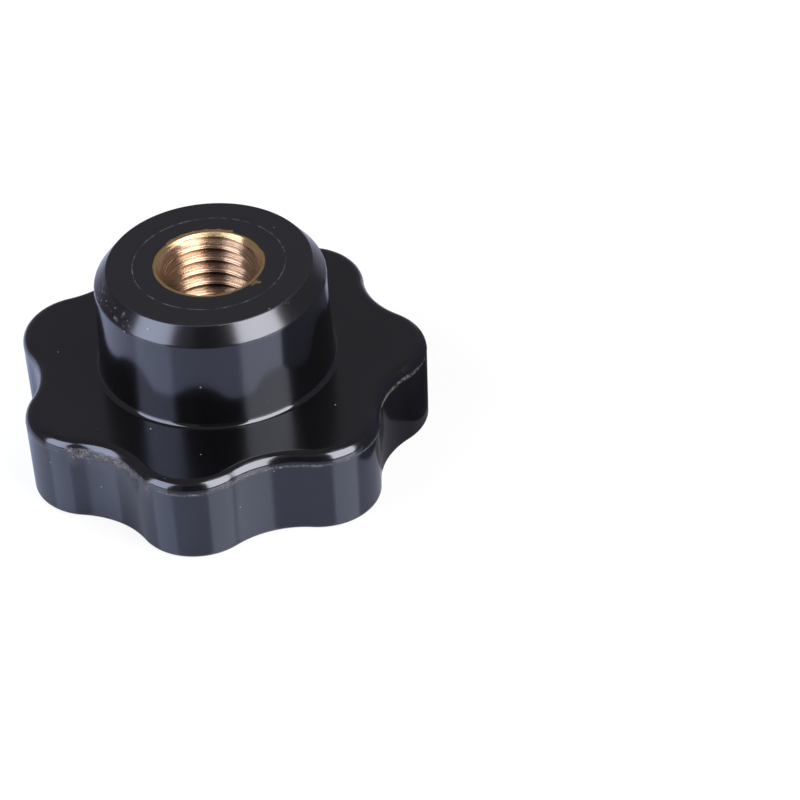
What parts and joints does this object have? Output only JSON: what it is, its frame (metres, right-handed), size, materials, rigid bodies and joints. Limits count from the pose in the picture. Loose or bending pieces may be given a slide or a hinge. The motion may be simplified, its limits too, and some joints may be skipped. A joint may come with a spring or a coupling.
{
  "type": "star knob",
  "caption": "Moulded seven-lobe star grip knob with a tapered boss and a flush blind brass threaded bush, turned by hand to clamp onto a stud.",
  "frame": {"origin": "on the knob's axis, at the flat crown face that it rests on", "axes": "+Z along the axis, out of the bush's mouth; +X through the tip of one lobe"},
  "size_m": [0.0483, 0.0492, 0.0248],
  "materials": {
    "knob_body": "glossy black phenolic moulding, satin on the boss's end face",
    "threaded_insert": "bright turned brass, matt on the faced ring"
  },
  "bodies": {
    "root": {"knob_body": "knob_body", "threaded_insert": "threaded_insert"}
  },
  "joints": []
}
